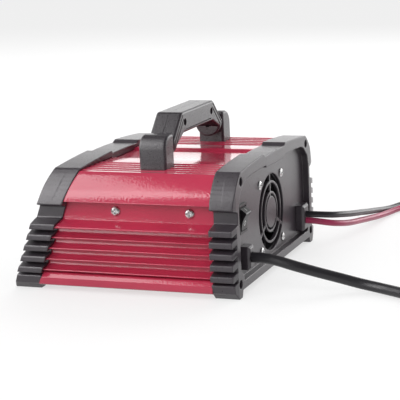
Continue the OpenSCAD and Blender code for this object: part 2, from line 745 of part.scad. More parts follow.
module grip_half_shell(s) {
    x0 = s > 0 ? handle_x : handle_x - grip_w / 2;
    face = handle_x + s * grip_w / 2;
    color(black) difference() {
        intersection() {
            along_x(x0, x0 + grip_w / 2) grip_outline();
            union() {
                block([x0 - 1, -grip_half - 1, pivot_z], [x0 + grip_w, grip_half + 1, grip_top + 1]);
                rod_y(leg_r, -grip_half - 1, grip_half + 1, handle_x, pivot_z);
            }
        }
        for (t = [-1, 1]) {
            scale([1, t, 1]) rod_y(pin_r + pin_gap, grip_half - leg_t - 1, grip_half + 1, handle_x, pivot_z);
            translate([0, t * grip_screw_at[0], grip_screw_at[1]]) {
                if (s > 0) rod_x(1.7, handle_x - 1, face, 0, 0);
                if (s > 0) rod_x(2.6, face - grip_screw_seat, face + 1, 0, 0);
                if (s < 0) rod_x(1.2, face + 2.4, handle_x + 1, 0, 0);
            }
        }
        // Moulded grooves along both legs
        for (t = [-1, 1]) along_x(face - groove, face + groove) scale([t, 1]) for (d = [2.2, 5.4])
            polygon([[grip_half - d, pivot_z - 5], [grip_half - d, grip_top - 18.4 - d * 0.4],
                [grip_half - 18.6 - d * 0.4, grip_top - d], [grip_half - 19.4 - d * 0.4, grip_top - d - 0.5],
                [grip_half - d - 0.9, grip_top - 18.8 - d * 0.4], [grip_half - d - 0.9, pivot_z - 5]]);
    }
}
module grip_screws() {
    color(nickel) for (t = [-1, 1])
        translate([handle_x + grip_w / 2 - grip_screw_seat, t * grip_screw_at[0], grip_screw_at[1]])
        pan_screw(1.15, 2.4, 1.6, 13);
}
module handle_pins() {
    color(nickel) for (t = [-1, 1])
        scale([1, t, 1]) rod_y(pin_r, grip_half - leg_t, post_in_y + pin_seat, handle_x, pivot_z);
}

// Electronics on the main board
board_x1 = fan_x0 - 3.5;
board_x0 = board_x1 - board_l;
board_z = floor_in_z + standoff_h;
deck_z = board_z + board_t;
module on_board(x, y) { translate([x, y, deck_z]) children(); }
board_edge = 5;
standoff_at = [for (x = [board_x0 + board_edge, (board_x0 + board_x1) / 2, board_x1 - board_edge], y = [-1, 1])
    [x, y * (board_w / 2 - board_edge)]];
module main_board() {
    color(board_green) difference() {
        block([board_x0, -board_w / 2, board_z], [board_x1, board_w / 2, deck_z]);
        for (p = standoff_at) rod_z(1.7, board_z - 1, deck_z + 1, p[0], p[1]);
    }
}
module board_standoffs() {
    color(nickel) for (p = standoff_at) difference() {
        translate([p[0], p[1], floor_in_z]) cylinder(r = 3.2, h = standoff_h, $fn = 6);
        rod_z(1.55, floor_in_z + 1, board_z + 1, p[0], p[1]);
    }
}
module board_screws() {
    color(nickel) for (p = standoff_at)
        on_board(p[0], p[1]) rotate([0, -90, 0]) pan_screw(1.5, 2.8, 1.8, board_t + 4);
}
// Transformer, two windows in its core and one winding round the middle limb
core = [42, 30, 34];
core_at = [board_x1 - 46, -20];
core_limb = 6;
window_l = 7;
limb_x = [core[0] / 2 - core_limb, core[0] / 2 + core_limb];
module transformer_core() {
    color("#4a4a50") on_board(core_at[0], core_at[1]) difference() {
        cube(core);
        for (x = [limb_x[0] - window_l, limb_x[1]])
            block([x, -1, core_limb], [x + window_l, core[1] + 1, core[2] - core_limb]);
    }
}
module transformer_winding() {
    gap = 0.2;
    over = 5;
    out = window_l - gap;
    color(copper) on_board(core_at[0], core_at[1]) difference() {
        block([limb_x[0] - out, -over, core_limb + gap],
            [limb_x[1] + out, core[1] + over, core[2] - core_limb - gap]);
        block([limb_x[0] - gap, -gap, 0], [limb_x[1] + gap, core[1] + gap, core[2]]);
    }
}
module input_capacitors() {
    r = 11;
    color("#29303f") for (k = [0, 1])
        on_board(board_x0 + 26 + (2 * r + 5) * k, r + 14 - board_w / 2) cylinder(r = r, h = 30);
}
module output_capacitors() {
    r = 5;
    color("#26262c") for (k = [0 : 5])
        on_board(board_x0 + 14 + (2 * r + 4) * k, board_w / 2 - 13) cylinder(r = r, h = 20);
}
module output_choke() {
    wire_r = 6;
    color("#c58a45") on_board(board_x0 + 24, 0) translate([0, 0, wire_r])
        rotate_extrude() translate([2 * wire_r + 1, 0]) circle(r = wire_r);
}
module heat_sink() {
    sink = [76, 16, 30];
    fins = 7;
    plate_t = 3;
    fin_w = 2.2;
    pitch = (sink[0] - fin_w - 3) / (fins - 1);
    color(alloy) on_board(board_x0 + 10, 30) {
        cube([sink[0], plate_t, sink[2]]);
        for (k = [0 : fins - 1]) translate([1 + pitch * k, plate_t, 0]) cube([fin_w, sink[1] - plate_t, sink[2]]);
    }
}
module relay() {
    color("#23456d") on_board(board_x1 - 34, 9 - board_w / 2) cube([28, 14, 15]);
}
module fuse() {
    r = 3;
    clip = [5, 6.8, 4.2];
    tube_l = 20;
    color("#d8d2c0") on_board(board_x1 - 31, -40) {
        rod_x(r, 0, tube_l, 0, clip[2]);
        for (x = [0, tube_l - clip[0]]) translate([x, -clip[1] / 2, 0]) cube(clip);
    }
}

// Controls on the sloping front
light_r = 1.6;
light_at = [-21, -7, 7, 21];
control_x = deck + panel_t + boss_h;
button_back = control_x - 3.4;
module control_board() {
    color(board_green) on_front() difference() {
        union() {
            block([control_x, -control_y, control_z[0]], [control_x + board_t, control_y, control_z[1]]);
            for (k = [-1, 0, 1]) translate([0, k * button_pitch, button_z]) {
                block([control_x - 2, -3, -3], [control_x, 3, 3]);
                rod_x(1.6, button_back + button_travel + 0.1, control_x - 2, 0, 0);
            }
            translate([0, 0, window_z])
                block([deck + 2.2, 2 - window_w / 2, 2 - window_h / 2], [control_x, window_w / 2 - 2, window_h / 2 - 2]);
        }
        for (p = control_screw_at) rod_x(1.5, control_x - 1, control_x + board_t + 1, p[0], p[1]);
    }
}
module control_board_screws() {
    color(nickel) on_front() for (p = control_screw_at)
        translate([control_x + board_t, p[0], p[1]]) pan_screw(1.25, 2.4, 1.5, board_t + 4.5);
}
module display_window() {
    color("#5c6b70") on_front() translate([0, 0, window_z])
        block([deck - 0.4, -window_w / 2, -window_h / 2], [deck + 2, window_w / 2, window_h / 2]);
}
module indicator_lights() {
    color("#d8d8d0") on_front() for (k = light_at) {
        rod_x(light_r, deck - 0.4, control_x, k, light_z);
        translate([deck - 0.4, k, light_z]) sphere(r = light_r, $fn = 32);
    }
}
module push_button(k) {
    color("#8b8b90") on_front() {
        rod_x(button_r, deck - 1.6, button_back, k * button_pitch, button_z);
        rod_x(button_r + 1, deck + panel_t + 0.3, button_back, k * button_pitch, button_z);
    }
}

// Cords: straight out of the glands, down to the floor and away to the right.
// Their places count x from the rear face and y from the middle of the gland.
module from_gland(at) { translate([rear_x, at[0], 0]) children(); }
function way(p, i) = unit(p[min(i + 1, len(p) - 1)] - p[max(i - 1, 0)]);
module tube(path, r, sides) {
    n = len(path);
    ring = [for (i = [0 : n - 1]) let (t = way(path, i), a = unit(cross(t, [0, 0, 1])), b = cross(a, t))
        for (k = [0 : sides - 1]) path[i] + r * (a * cos(360 * k / sides) + b * sin(360 * k / sides))];
    polyhedron(ring, concat(
        [[for (k = [0 : sides - 1]) k]],
        [for (i = [0 : n - 2], k = [0 : sides - 1]) let (a = i * sides, j = (k + 1) % sides)
            [a + k, a + sides + k, a + sides + j, a + j]],
        [[for (k = [sides - 1 : -1 : 0]) (n - 1) * sides + k]]));
}
mains_r = mains_d / 2;
lead_r = lead_d / 2;
mains_route = [[panel_in_x - rear_x, 0, 24.8], [2, 0, 24.8], [10, -0.2, 24.6], [19, -0.8, 23.6],
    [34, -1.4, 20.2], [48, 3.4, 15.4], [62, 10.8, 10], [76, 13.8, 6], [91, 11.2, 4.2], [106, 4.2, 3.8],
    [121, -4.2, 3.8], [135, -11.2, 3.8]];
mains_tail = [[210.5, 31.8, 11.3], [211.4, 40.8, 9.8], [212.2, 49.8, 7.8], [212.9, 58.8, 7.3],
    [213, 65.8, 8.6], [213, 71.9, 8.6]];
black_route = [[panel_in_x - rear_x, 0, 26.9], [2, 0, 26.9], [8, 0.1, 26.8], [15, 1.9, 26.4],
    [21.4, 7.7, 25.2], [25.6, 18.3, 23.4], [28.4, 31.3, 21], [30.2, 45.3, 18.6], [31, 60.3, 16],
    [31.8, 75.3, 13.2], [32.6, 90.3, 10.6], [33.4, 105.3, 8], [34.6, 120.3, 5.4], [36.6, 135.3, 3.4],
    [40, 149.3, 2.6], [45, 163.3, 2.6], [53, 175.3, 2.6], [64, 184.3, 2.6], [78, 189.7, 2.6],
    [93, 191.7, 2.6], [108, 191.9, 2.6], [123, 191.5, 2.6], [138, 190.7, 2.6], [153, 189.5, 2.6]];
red_route = [[panel_in_x - rear_x, 0, 21.7], [2, 0, 21.7], [8, 0.1, 21.5], [15, 1.3, 20.6],
    [21, 5.7, 19], [25.4, 14.3, 17], [28.2, 26.3, 14.6], [30, 39.3, 12.6], [31.4, 52.3, 10.8],
    [32.8, 66.3, 8.8], [34.4, 80.3, 7], [36, 94.3, 5.2], [37.6, 108.3, 3.8], [39.8, 122.3, 2.8],
    [43, 135.3, 2.6], [48, 147.3, 2.6], [56, 157.3, 2.6], [67, 163.9, 2.6], [80, 166.9, 2.6]];
module mains_cord() {
    color("#232226") from_gland(mains_gland_at) {
        tube(mains_route, mains_r, 10);
        tube(mains_tail, mains_r, 10);
    }
}
black_tail = [[198.5, 154.3, 7.6], [199.2, 144.3, 6], [199.7, 135.3, 5], [200, 127.8, 5.8],
    [200, 121.3, 7.6], [200, 115.4, 7.6]];
red_tail = [[126.5, 132.3, 7.6], [127.2, 122.3, 6], [127.7, 113.3, 5], [128, 105.8, 5.8],
    [128, 99.3, 7.6], [128, 93.4, 7.6]];
module black_lead() {
    color("#232226") from_gland(output_gland_at) {
        tube(black_route, lead_r, 8);
        tube(black_tail, lead_r, 8);
    }
}
module red_lead() {
    color("#a83058") from_gland(output_gland_at) {
        tube(red_route, lead_r, 8);
        tube(red_tail, lead_r, 8);
    }
}
// Outer shape of a round coil, two turns high and three turns wide, lifted a little by its tie
floor_gap = 0.05;
tie_t = 0.9;
tie_w = 4;
tie_gap = 0.1;
tie_head = [4, 6, 4.5];
module coil(at, d, middle_r, turn, c) {
    color(c) translate([at[0], at[1], floor_gap]) difference() {
        rotate_extrude() translate([middle_r - 1.5 * d, 0])
            offset(r = d / 3, $fn = 16) offset(delta = -d / 3) square([3 * d, 2 * d]);
        rotate(turn) translate([middle_r, 0, 0])
            block([-2 * d, -tie_w / 2 - tie_gap, -1], [2 * d, tie_w / 2 + tie_gap, tie_t + tie_gap]);
    }
}
// Cable tie round the turns of a coil, its locking head on the outside
module tie(at, d, middle_r, turn) {
    half = 1.5 * d + tie_gap;
    top = 2 * d + tie_gap;
    out = half + tie_t;
    translate([at[0], at[1], floor_gap]) rotate(turn) translate([middle_r, 0, 0]) {
        along_y(-tie_w / 2, tie_w / 2) difference() {
            polygon([[-out, 0], [out, 0], [out, top + tie_t - 1], [out - 1, top + tie_t], [1 - out, top + tie_t],
                [-out, top + tie_t - 1]]);
            translate([-half, tie_t]) square([2 * half, top - tie_t]);
        }
        translate([out - 0.1, -tie_head[1] / 2, d - tie_head[2] / 2]) cube(tie_head);
    }
}
mains_coil_at = [162, 32.8];
mains_coil_r = 41;
lead_coil_r = 27.5;
black_coil_at = [166, 155.3];
red_coil_at = [94, 133.3];
mains_tie_turn = 100;
lead_tie_turn = 250;
module mains_coil() {
    from_gland(mains_gland_at) coil(mains_coil_at, mains_d, mains_coil_r, mains_tie_turn, "#232226");
}
module black_coil() {
    from_gland(output_gland_at) coil(black_coil_at, lead_d, lead_coil_r, lead_tie_turn, "#232226");
}
module red_coil() {
    from_gland(output_gland_at) coil(red_coil_at, lead_d, lead_coil_r, lead_tie_turn, "#a83058");
}
module cord_ties() {
    color("#1c1b1e") {
        from_gland(mains_gland_at) tie(mains_coil_at, mains_d, mains_coil_r, mains_tie_turn);
        for (at = [black_coil_at, red_coil_at]) from_gland(output_gland_at) tie(at, lead_d, lead_coil_r, lead_tie_turn);
    }
}

// Moulded plug with two flat blades and a round earth pin, along +y from the end of its cord
plug_at = [213, 72, 12.6];
plug_l = 36;
plug_w = 25;
plug_h = 24.4;
module plug_outline() {
    half = [[5, 0], [6, 4], [9, 12], [plug_w / 2, 20], [plug_w / 2, plug_l]];
    polygon(concat(half, mirrored(half)));
}
module at_plug() { from_gland(mains_gland_at) translate(plug_at) children(); }
module mains_plug() {
    color("#232226") at_plug() difference() {
        intersection() {
            translate([0, 0, -plug_h / 2]) linear_extrude(plug_h)
                offset(r = 1, $fn = 24) offset(delta = -1) plug_outline();
            along_x(-plug_w, plug_w) polygon([[0, -8], [12, -10], [22, -plug_h / 2], [plug_l, -plug_h / 2],
                [plug_l, plug_h / 2], [22, plug_h / 2], [12, 3], [0, 0]]);
        }
        blade_set(0.02);
    }
}
// Blades 12.7 mm apart and 1.5 mm thick, with the earth pin below them
module blade_set(more) {
    root = plug_l - 6;
    half_t = 0.75 + more;
    for (s = [-1, 1]) translate([s * 12.7 / 2, 0, 0])
        block([-half_t, root, -0.2 - more], [half_t, plug_l + 16.5, 6.1 + more]);
    rod_y(2.4 + more, root, plug_l + 19, 0, -7.5);
}
module plug_blades() { color("#c9a24a") at_plug() blade_set(0); }

// Spring clamps that lie on their sides, with the pivot upright
clamp_tail = 46;
clamp_h = 15;
clamp_pivot_r = 2.5;
module clamp_half(s, z0, z1) {
    translate([0, 0, z0]) linear_extrude(z1 - z0) scale([s, -1]) polygon(concat(
        [[0.4, 44], [4, 45], [7.5, 41], [9.5, 33]],
        arc_between([11, 20], [13, -6], 1.5, 6),
        [[21, -36], [21.5, -clamp_tail], [15.5, -clamp_tail], [9.5, -12], [6, -8], [6, 8], [2, 14]],
        [for (k = [0 : 5]) each [[0.4, 18 + 4.2 * k], [1.9, 20.1 + 4.2 * k]]]));
}
module clamp_base(at, c) {
    color(c) from_gland(output_gland_at) translate([at[0], at[1], 0]) difference() {
        union() {
            clamp_half(1, 0.1, clamp_h);
            translate([0, 0, 0.1]) cylinder(r = 7.5, h = 3);
            translate([0, 0, clamp_h - 3]) cylinder(r = 7.5, h = 3);
        }
        translate([0, 0, -1]) cylinder(r = clamp_pivot_r + 0.05, h = clamp_h + 2);
        translate([0, 0, 3.1]) cylinder(r = 8.4, h = clamp_h - 6.1);
    }
}
module clamp_jaw(at, c) {
    color(c) from_gland(output_gland_at) translate([at[0], at[1], 0]) difference() {
        union() {
            difference() {
                clamp_half(-1, 0.4, clamp_h - 0.3);
                translate([0, 0, -1]) cylinder(r = 8, h = 4.4);
                translate([0, 0, clamp_h - 3.4]) cylinder(r = 8, h = 4.4);
            }
            translate([0, 0, 3.5]) cylinder(r = 7.5, h = 2.4);
            translate([0, 0, clamp_h - 5.8]) cylinder(r = 7.5, h = 2.4);
        }
        translate([0, 0, -1]) cylinder(r = clamp_pivot_r + 0.05, h = clamp_h + 2);
        translate([0, 0, 6]) cylinder(r = 7, h = clamp_h - 12);
    }
}
module clamp_pin(at) {
    color(nickel) from_gland(output_gland_at)
        translate([at[0], at[1], 0.1]) cylinder(r = clamp_pivot_r, h = clamp_h);
}
module clamp_spring(at) {
    color(nickel) from_gland(output_gland_at) translate([at[0], at[1], 6.2]) difference() {
        cylinder(r = 4.4, h = clamp_h - 12.2);
        translate([0, 0, -1]) cylinder(r = 2.8, h = clamp_h);
    }
}
clamp_cord_x = 18.5;
black_clamp_at = [200 - clamp_cord_x, 115.3 - clamp_tail];
red_clamp_at = [128 - clamp_cord_x, 93.3 - clamp_tail];

lower_shell();
upper_shell();
rear_cap();
front_cap();
rear_cap_screws();
front_cap_screws();
band_screws();
cooling_bar(-1);  // cooling_bar_near
cooling_bar(1);  // cooling_bar_far
power_devices();
fan_frame();
fan_rotor();
fan_screws();
switch_body();
switch_rocker();
mains_gland();
output_gland();
post(-1);  // handle_post_near
post(1);  // handle_post_far
post_screws();
grip_half_shell(-1);  // grip_front_half
grip_half_shell(1);  // grip_rear_half
grip_screws();
handle_pins();
main_board();
board_standoffs();
board_screws();
transformer_core();
transformer_winding();
input_capacitors();
output_capacitors();
output_choke();
heat_sink();
relay();
fuse();
control_board();
control_board_screws();
display_window();
indicator_lights();
push_button(-1);  // select_button
push_button(0);  // rate_button
push_button(1);  // start_button
mains_cord();
mains_coil();
mains_plug();
plug_blades();
black_lead();
black_coil();
red_lead();
red_coil();
cord_ties();
clamp_base(black_clamp_at, "#2b2a2e");  // black_clamp_base
clamp_jaw(black_clamp_at, "#2b2a2e");  // black_clamp_jaw
clamp_pin(black_clamp_at);  // black_clamp_pin
clamp_spring(black_clamp_at);  // black_clamp_spring
clamp_base(red_clamp_at, "#a83048");  // red_clamp_base
clamp_jaw(red_clamp_at, "#a83048");  // red_clamp_jaw
clamp_pin(red_clamp_at);  // red_clamp_pin
clamp_spring(red_clamp_at);  // red_clamp_spring
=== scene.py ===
"""Looks of the portable battery charger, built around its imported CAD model.

Metres, in the CAD model's frame: +X towards the rear face with the fan, -Y towards the side with
the mains lead, +Z up, the floor at z = 0. Sizes in capitals are in millimetres up to the floor's section.
"""

import json
import math

import bmesh
import bpy
import numpy as np
from mathutils import Matrix, Vector
from mathutils.geometry import tessellate_polygon


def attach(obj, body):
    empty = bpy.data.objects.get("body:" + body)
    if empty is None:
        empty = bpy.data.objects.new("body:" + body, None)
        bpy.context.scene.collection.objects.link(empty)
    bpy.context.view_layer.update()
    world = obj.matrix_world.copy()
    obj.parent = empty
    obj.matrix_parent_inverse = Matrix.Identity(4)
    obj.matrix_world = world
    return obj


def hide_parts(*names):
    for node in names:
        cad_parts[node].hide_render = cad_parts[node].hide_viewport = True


MM = 0.001
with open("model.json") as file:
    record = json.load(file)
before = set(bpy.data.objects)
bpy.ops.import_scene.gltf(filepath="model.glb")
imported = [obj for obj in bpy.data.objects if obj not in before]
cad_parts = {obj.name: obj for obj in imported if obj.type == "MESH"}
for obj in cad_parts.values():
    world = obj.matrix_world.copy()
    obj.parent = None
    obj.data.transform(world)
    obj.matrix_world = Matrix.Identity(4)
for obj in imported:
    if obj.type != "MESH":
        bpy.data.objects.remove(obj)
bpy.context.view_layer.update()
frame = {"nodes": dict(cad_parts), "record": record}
nodes = frame["nodes"]


# Camera, at the photograph's viewing angle

def place_camera():
    """Puts the camera on the ray from the target: azimuth and elevation turn it, roll tilts the picture."""
    azimuth, elevation, roll = (math.radians(a) for a in (21.536, 11.784, -2.635))
    target = Vector((22.316, 8.413, 48.402)) * MM
    distance = 1072.238 * MM
    focal_px, frame_px, sensor = 1395.564, 400.0, 36.0
    level = math.cos(elevation)
    back = Vector((math.sin(azimuth) * level, -math.cos(azimuth) * level, math.sin(elevation)))
    right = Vector((0, 0, 1)).cross(back).normalized()
    up = back.cross(right)
    right_rolled = right * math.cos(roll) + up * math.sin(roll)
    up_rolled = up * math.cos(roll) - right * math.sin(roll)
    data = bpy.data.cameras.new("camera")
    data.sensor_width = sensor
    data.lens = focal_px / frame_px * sensor
    data.clip_start, data.clip_end = 0.05, 20
    camera = bpy.data.objects.new("camera", data)
    bpy.context.scene.collection.objects.link(camera)
    axes = Matrix((right_rolled, up_rolled, back)).transposed().to_4x4()
    camera.matrix_world = Matrix.Translation(target + back * distance) @ axes
    bpy.context.scene.camera = camera


# Mesh making

CURVE_STEPS = 24
TURN_STEPS = 48
CLIMB_FROM = 0.6
FLOOR_GAP = 0.0001


def mesh_piece(name, points, faces, material, smooth_angle=None):
    """A mesh object from an array of points and a list of faces; edges under smooth_angle shade smoothly."""
    mesh = bpy.data.meshes.new(name)
    mesh.from_pydata(np.asarray(points, float).tolist(), [], [list(map(int, f)) for f in faces])
    mesh.update()
    if smooth_angle is not None:
        mesh.shade_smooth()
        mesh.set_sharp_from_angle(angle=math.radians(smooth_angle))
    piece = bpy.data.objects.new(name, mesh)
    bpy.context.scene.collection.objects.link(piece)
    mesh.materials.append(material)
    return piece


def face_outwards(piece):
    """Turns every face of a closed mesh outwards."""
    mesh = bmesh.new()
    mesh.from_mesh(piece.data)
    bmesh.ops.recalc_face_normals(mesh, faces=mesh.faces)
    mesh.to_mesh(piece.data)
    mesh.free()


def between(s, start, end, a, b):
    """Straight blend from a at start to b at end, carried on past both."""
    return ((end - s) * a + (s - start) * b) / (end - start)


def smooth_curve(points, step):
    """Centripetal Catmull-Rom curve through the points, then resampled every step along its length."""
    p = np.asarray(points, float)
    ends = np.vstack([2 * p[0] - p[1], p, 2 * p[-1] - p[-2]])
    t = np.concatenate([[0], np.cumsum(np.sqrt(np.linalg.norm(np.diff(ends, axis=0), axis=1)))])
    out = []
    for i in range(1, len(ends) - 2):
        s = np.linspace(t[i], t[i + 1], CURVE_STEPS, endpoint=False)[:, None]
        a = [between(s, t[i + j - 1], t[i + j], ends[i + j - 1], ends[i + j]) for j in range(3)]
        b = [between(s, t[i + j - 1], t[i + j + 1], a[j], a[j + 1]) for j in range(2)]
        out.append(between(s, t[i], t[i + 1], b[0], b[1]))
    fine = np.vstack(out + [p[-1:]])
    run = np.concatenate([[0], np.cumsum(np.linalg.norm(np.diff(fine, axis=0), axis=1))])
    at = np.linspace(0, run[-1], max(2, int(round(run[-1] / step)) + 1))
    return np.stack([np.interp(at, run, fine[:, k]) for k in range(3)], 1)


def ring_quads(rings, sides, closed=False):
    """Quads between neighbouring rings of points, and from the last ring to the first where they close."""
    i, k = np.meshgrid(np.arange(rings if closed else rings - 1), np.arange(sides), indexing="ij")
    after, beside = (i + 1) % rings, (k + 1) % sides
    corners = (i * sides + k, i * sides + beside, after * sides + beside, after * sides + k)
    return np.stack(corners, -1).reshape(-1, 4).tolist()


def tube_points(path, radius, sides):
    """Rings of a round tube: each point of the path carries a circle square to the path's direction."""
    along = np.gradient(path, axis=0)
    along /= np.linalg.norm(along, axis=1)[:, None]
    across = np.cross(along, [0, 0, 1.0])
    across /= np.linalg.norm(across, axis=1)[:, None]
    rise = np.cross(across, along)
    angle = np.linspace(0, 2 * np.pi, sides, endpoint=False)
    circle = across[:, None] * np.cos(angle)[None, :, None] + rise[:, None] * np.sin(angle)[None, :, None]
    return path[:, None] + np.asarray(radius).reshape(-1, 1, 1) * circle


def tube_faces(rings, sides):
    """Quads between neighbouring rings and a flat cap at each end, all facing outwards."""
    first = list(range(sides))
    last = [(rings - 1) * sides + k for k in first]
    return ring_quads(rings, sides) + [first[::-1], last]


def coil_turns(centre, radii, diameter, start, way, layers=2):
    """Flat spiral turns about centre: in along the radii on the floor layer, then out again on the next.

    The radius and the height change over the last part of each turn, from CLIMB_FROM on, and start is the
    angle of the first point."""
    ring, height = [], []
    for layer in range(layers):
        order = radii if layer % 2 == 0 else radii[::-1]
        ring += list(order)
        height += [diameter * (0.5 + layer) + FLOOR_GAP] * len(order)
    out = []
    for n, (r, h) in enumerate(zip(ring, height)):
        last = n == len(ring) - 1
        r2, h2 = (r, h) if last else (ring[n + 1], height[n + 1])
        u = np.arange(TURN_STEPS) / TURN_STEPS
        ease = np.clip((u - CLIMB_FROM) / (1 - CLIMB_FROM), 0, 1)
        ease = ease * ease * (3 - 2 * ease)
        angle = start + way * 2 * np.pi * u
        radius = r + (r2 - r) * ease
        x, y = centre[0] + radius * np.cos(angle), centre[1] + radius * np.sin(angle)
        out.append(np.stack([x, y, h + (h2 - h) * ease], 1))
    return np.vstack(out)


# Materials

finishes = {}


def new_material(name):
    """A node material, kept in finishes under its name, with its shader and the object's own coordinates."""
    material = bpy.data.materials.new(name)
    finishes[name] = material
    material.use_nodes = True
    tree = material.node_tree
    shader = tree.nodes["Principled BSDF"]
    place = tree.nodes.new("ShaderNodeTexCoord").outputs["Object"]
    return material, tree, shader, place


def noise(tree, place, scale, detail):
    """Smooth noise over the object's own coordinates, mostly between 0.3 and 0.7."""
    node = tree.nodes.new("ShaderNodeTexNoise")
    node.inputs["Scale"].default_value = scale
    node.inputs["Detail"].default_value = detail
    node.inputs["Roughness"].default_value = 0.5
    tree.links.new(place, node.inputs["Vector"])
    return node.outputs["Fac"]


def spread(tree, value, low, high):
    """Maps a noise value of 0.3 to 0.7 onto low to high."""
    node = tree.nodes.new("ShaderNodeMapRange")
    node.inputs["From Min"].default_value, node.inputs["From Max"].default_value = 0.3, 0.7
    node.inputs["To Min"].default_value, node.inputs["To Max"].default_value = low, high
    tree.links.new(value, node.inputs["Value"])
    return node.outputs["Result"]


def two_tone(tree, value, dark, light):
    """Colour from dark at 0 to light at 1. A mix node's sockets 0, 6 and 7 are its factor and two colours."""
    node = tree.nodes.new("ShaderNodeMix")
    node.data_type = "RGBA"
    node.inputs[6].default_value, node.inputs[7].default_value = (*dark, 1), (*light, 1)
    tree.links.new(value, node.inputs[0])
    return node.outputs[2]


def relief(tree, shader, value, depth, edge=0.0):
    """Bump of the given depth in metres, over edges that a bevel of radius edge rounds in the shading."""
    bump = tree.nodes.new("ShaderNodeBump")
    bump.inputs["Strength"].default_value = 1.0
    bump.inputs["Distance"].default_value = depth
    tree.links.new(value, bump.inputs["Height"])
    if edge:
        bevel = tree.nodes.new("ShaderNodeBevel")
        bevel.samples = 6
        bevel.inputs["Radius"].default_value = edge
        tree.links.new(bevel.outputs["Normal"], bump.inputs["Normal"])
    tree.links.new(bump.outputs["Normal"], shader.inputs["Normal"])


def srgb(hex_code):
    """Linear colour of a six-digit display colour."""
    c = np.array([int(hex_code[i:i + 2], 16) for i in (0, 2, 4)]) / 255
    return tuple(np.where(c <= 0.04045, c / 12.92, ((c + 0.055) / 1.055) ** 2.4))


def moulded(name, colour, roughness, grain=0.00006, grain_scale=1500, edge=0.0008, metallic=0.0, gloss=0.5):
    """Plastic or metal with a fine grain, slight cloudiness of tone and softened edges."""
    material, tree, shader, place = new_material(name)
    base = np.array(srgb(colour))
    cloud = spread(tree, noise(tree, place, 60, 3), 0, 1)
    tree.links.new(two_tone(tree, cloud, base * 0.88, base * 1.1), shader.inputs["Base Color"])
    fine = noise(tree, place, grain_scale, 2)
    tree.links.new(spread(tree, fine, roughness - 0.06, roughness + 0.06), shader.inputs["Roughness"])
    shader.inputs["Metallic"].default_value = metallic
    shader.inputs["Specular IOR Level"].default_value = gloss
    relief(tree, shader, fine, grain, edge)
    return material


def enamelled(name, colour):
    """Thick gloss enamel: a clear coat over a saturated base, with the slow ripple of orange peel."""
    material, tree, shader, place = new_material(name)
    base = np.array(srgb(colour))
    cloud = spread(tree, noise(tree, place, 25, 2), 0, 1)
    tree.links.new(two_tone(tree, cloud, base * 0.93, base * 1.07), shader.inputs["Base Color"])
    shader.inputs["Roughness"].default_value = 0.16
    shader.inputs["Specular IOR Level"].default_value = 0.25
    shader.inputs["Coat Weight"].default_value = 0.65
    shader.inputs["Coat Roughness"].default_value = 0.03
    ripple = noise(tree, place, 760, 0.0)
    relief(tree, shader, ripple, 0.00006)
    tree.links.new(tree.nodes["Bump"].outputs["Normal"], shader.inputs["Coat Normal"])
    return material


# Name, colour, roughness, depth and scale of the grain, radius of the edges, metallic

handle_plastic = moulded("handle_plastic", "312c31", 0.31, 0.00014, 900, 0.0003, gloss=0.7)
red_enamel = enamelled("red_enamel", "be3752")
black_cord = moulded("black_cord", "232125", 0.36, 0.00004, 900, 0.0)
red_cord = moulded("red_cord", "a83058", 0.36, 0.00004, 900, 0.0)
moulded("black_plastic", "3a343a", 0.33, 0.00008, 1000, 0.0014, gloss=0.7)
moulded("nickel_steel", "c9c9c9", 0.25, 0.00002, 900, 0.0002, 1.0)
moulded("bare_aluminium", "b4b5b9", 0.38, 0.00002, 700, 0.0003, 1.0)
moulded("component_black", "262428", 0.5)
moulded("switch_black", "1c1a1d", 0.34, 0.00003, 1500, 0.0004, gloss=0.3)
moulded("board_laminate", "2f6b45", 0.4, 0.00003)
moulded("ferrite", "47474c", 0.6)
moulded("copper_wire", "b8703a", 0.35, 0.00003, 900, 0.0003, 1.0)
moulded("capacitor_sleeve", "29303f", 0.32)
moulded("relay_blue", "23456d", 0.35)
moulded("fuse_glass", "d8d2c0", 0.15)
moulded("window_grey", "4f5b60", 0.12, 0.00001, 500)
moulded("light_lens", "d8d8d0", 0.35)
moulded("button_grey", "85858a", 0.42)
moulded("brass_blades", "c9a24a", 0.25, 0.00001, 900, 0.0003, 1.0)
moulded("clamp_black", "2b2a2e", 0.4, 0.00004, 1200, 0.001)
moulded("clamp_red", "a83048", 0.4, 0.00004, 1200, 0.001)

for entry in frame["record"]["subparts"]:
    node = nodes[entry["node"]]
    node.data.materials.clear()
    node.data.materials.append(finishes[entry["material_slot"]])


# Cords. Each route repeats the points of the CAD model

MAINS_ACROSS, LEAD_ACROSS = 7.5, 5
MAINS_COIL, LEAD_COIL = [48.5, 41, 33.5], [32.5, 27.5, 22.5]
ANTICLOCKWISE, CLOCKWISE = 1, -1


def cord_piece(name, path, diameter, sides, material):
    """A round cord along the path, on the cabinet."""
    rings = tube_points(path, diameter / 2, sides)
    piece = mesh_piece(name, rings.reshape(-1, 3), tube_faces(len(path), sides), material, 40)
    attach(piece, "cabinet")
    return piece


def wound_cord(name, route, centre, radii, diameter, way, tail, sides, material, step):
    """The cord and its centreline: the route to the coil, its turns, and the tail to what it carries."""
    first = np.asarray(route[-1][:2]) - centre
    start = math.atan2(first[1], first[0])
    turns = coil_turns(np.asarray(centre), radii, diameter, start, way)
    end = np.asarray(tail[0][:2]) - centre
    stop = math.atan2(end[1], end[0])
    extra = (way * (stop - start)) % (2 * math.pi)
    count = max(2, int(extra / (2 * math.pi) * TURN_STEPS))
    angle = start + way * np.linspace(0, extra, count)
    x, y = centre[0] + radii[0] * np.cos(angle), centre[1] + radii[0] * np.sin(angle)
    rest = np.stack([x, y, np.full(count, turns[-1, 2])], 1)
    line = np.vstack([np.asarray(route[:-1]), turns, rest[:-1], np.asarray(tail)])
    path = smooth_curve(line, step) * MM
    return cord_piece(name, path, diameter * MM, sides, material), path


